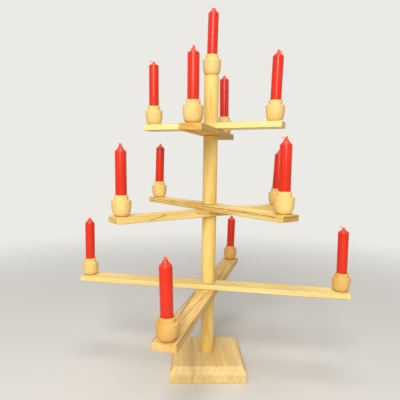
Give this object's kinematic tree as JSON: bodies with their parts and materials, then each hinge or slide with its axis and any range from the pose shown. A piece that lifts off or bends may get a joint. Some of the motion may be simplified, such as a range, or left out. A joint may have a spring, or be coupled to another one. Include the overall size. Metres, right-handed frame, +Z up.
{
  "type": "christmas candelabrum",
  "caption": "Free-standing wooden candle tree: square foot, round post, tiers of crossed bars that swivel, and turned cups that each hold a slim straight candle.",
  "frame": {"origin": "centre of the foot's underside, on the post's axis", "axes": "+Z up along the post; +X to the right and +Y away from the viewer in the picture; the foot's sides lie along X and Y"},
  "size_m": [0.3966, 0.3918, 0.5087],
  "materials": {
    "foot_wood": "sanded, unpainted",
    "post_wood": "sanded, unpainted",
    "bar_wood": "planed, unpainted, grain along the bar",
    "cup_wood": "turned, unpainted",
    "candle_wax": "red wax, satin",
    "wick_cotton": "waxed cotton"
  },
  "bodies": {
    "stand": {"foot": "foot_wood", "post_foot_to_lower": "post_wood", "post_lower_to_middle": "post_wood", "post_middle_to_upper": "post_wood", "post_upper_to_top": "post_wood", "pivot_dowel_lower": "post_wood", "pivot_dowel_middle": "post_wood", "pivot_dowel_upper": "post_wood", "cup_top": "cup_wood"},
    "bar_lower_under": {"bar_lower_under": "bar_wood", "cup_lower_under_front": "cup_wood", "cup_lower_under_back": "cup_wood"},
    "bar_lower_over": {"bar_lower_over": "bar_wood", "cup_lower_over_left": "cup_wood", "cup_lower_over_right": "cup_wood"},
    "bar_middle_under": {"bar_middle_under": "bar_wood", "cup_middle_under_left": "cup_wood", "cup_middle_under_right": "cup_wood"},
    "bar_middle_over": {"bar_middle_over": "bar_wood", "cup_middle_over_left": "cup_wood", "cup_middle_over_right": "cup_wood"},
    "bar_upper_under": {"bar_upper_under": "bar_wood", "cup_upper_under_front": "cup_wood", "cup_upper_under_back": "cup_wood"},
    "bar_upper_over": {"bar_upper_over": "bar_wood", "cup_upper_over_left": "cup_wood", "cup_upper_over_right": "cup_wood"},
    "candle_lower_under_front": {"candle_lower_under_front": "candle_wax", "wick_lower_under_front": "wick_cotton"},
    "candle_lower_under_back": {"candle_lower_under_back": "candle_wax", "wick_lower_under_back": "wick_cotton"},
    "candle_lower_over_left": {"candle_lower_over_left": "candle_wax", "wick_lower_over_left": "wick_cotton"},
    "candle_lower_over_right": {"candle_lower_over_right": "candle_wax", "wick_lower_over_right": "wick_cotton"},
    "candle_middle_under_left": {"candle_middle_under_left": "candle_wax", "wick_middle_under_left": "wick_cotton"},
    "candle_middle_under_right": {"candle_middle_under_right": "candle_wax", "wick_middle_under_right": "wick_cotton"},
    "candle_middle_over_left": {"candle_middle_over_left": "candle_wax", "wick_middle_over_left": "wick_cotton"},
    "candle_middle_over_right": {"candle_middle_over_right": "candle_wax", "wick_middle_over_right": "wick_cotton"},
    "candle_upper_under_front": {"candle_upper_under_front": "candle_wax", "wick_upper_under_front": "wick_cotton"},
    "candle_upper_under_back": {"candle_upper_under_back": "candle_wax", "wick_upper_under_back": "wick_cotton"},
    "candle_upper_over_left": {"candle_upper_over_left": "candle_wax", "wick_upper_over_left": "wick_cotton"},
    "candle_upper_over_right": {"candle_upper_over_right": "candle_wax", "wick_upper_over_right": "wick_cotton"},
    "candle_top": {"candle_top": "candle_wax", "wick_top": "wick_cotton"}
  },
  "joints": [
    {"name": "swivel_lower_under", "type": "hinge", "parent": "stand", "child": "bar_lower_under", "pos_m": [0, 0, 0.122], "axis": [0, 0, 1], "continuous": true},
    {"name": "swivel_lower_over", "type": "hinge", "parent": "bar_lower_under", "child": "bar_lower_over", "pos_m": [0, 0, 0.1303], "axis": [0, 0, 1], "range_deg": [-85, 77]},
    {"name": "swivel_middle_under", "type": "hinge", "parent": "stand", "child": "bar_middle_under", "pos_m": [0, 0, 0.2385], "axis": [0, 0, 1], "continuous": true},
    {"name": "swivel_middle_over", "type": "hinge", "parent": "bar_middle_under", "child": "bar_middle_over", "pos_m": [0, 0, 0.2468], "axis": [0, 0, 1], "range_deg": [-78, 78]},
    {"name": "swivel_upper_under", "type": "hinge", "parent": "stand", "child": "bar_upper_under", "pos_m": [0, 0, 0.3495], "axis": [0, 0, 1], "continuous": true},
    {"name": "swivel_upper_over", "type": "hinge", "parent": "bar_upper_under", "child": "bar_upper_over", "pos_m": [0, 0, 0.3578], "axis": [0, 0, 1], "range_deg": [-66, 77]},
    {"name": "lift_lower_under_front", "type": "slide", "parent": "bar_lower_under", "child": "candle_lower_under_front", "axis": [0, 0, 1], "range_m": [0, 0.02]},
    {"name": "lift_lower_under_back", "type": "slide", "parent": "bar_lower_under", "child": "candle_lower_under_back", "axis": [0, 0, 1], "range_m": [0, 0.02]},
    {"name": "lift_lower_over_left", "type": "slide", "parent": "bar_lower_over", "child": "candle_lower_over_left", "axis": [0, 0, 1], "range_m": [0, 0.02]},
    {"name": "lift_lower_over_right", "type": "slide", "parent": "bar_lower_over", "child": "candle_lower_over_right", "axis": [0, 0, 1], "range_m": [0, 0.02]},
    {"name": "lift_middle_under_left", "type": "slide", "parent": "bar_middle_under", "child": "candle_middle_under_left", "axis": [0, 0, 1], "range_m": [0, 0.02]},
    {"name": "lift_middle_under_right", "type": "slide", "parent": "bar_middle_under", "child": "candle_middle_under_right", "axis": [0, 0, 1], "range_m": [0, 0.02]},
    {"name": "lift_middle_over_left", "type": "slide", "parent": "bar_middle_over", "child": "candle_middle_over_left", "axis": [0, 0, 1], "range_m": [0, 0.02]},
    {"name": "lift_middle_over_right", "type": "slide", "parent": "bar_middle_over", "child": "candle_middle_over_right", "axis": [0, 0, 1], "range_m": [0, 0.02]},
    {"name": "lift_upper_under_front", "type": "slide", "parent": "bar_upper_under", "child": "candle_upper_under_front", "axis": [0, 0, 1], "range_m": [0, 0.02]},
    {"name": "lift_upper_under_back", "type": "slide", "parent": "bar_upper_under", "child": "candle_upper_under_back", "axis": [0, 0, 1], "range_m": [0, 0.02]},
    {"name": "lift_upper_over_left", "type": "slide", "parent": "bar_upper_over", "child": "candle_upper_over_left", "axis": [0, 0, 1], "range_m": [0, 0.02]},
    {"name": "lift_upper_over_right", "type": "slide", "parent": "bar_upper_over", "child": "candle_upper_over_right", "axis": [0, 0, 1], "range_m": [0, 0.02]},
    {"name": "lift_top", "type": "slide", "parent": "stand", "child": "candle_top", "axis": [0, 0, 1], "range_m": [0, 0.02]}
  ]
}
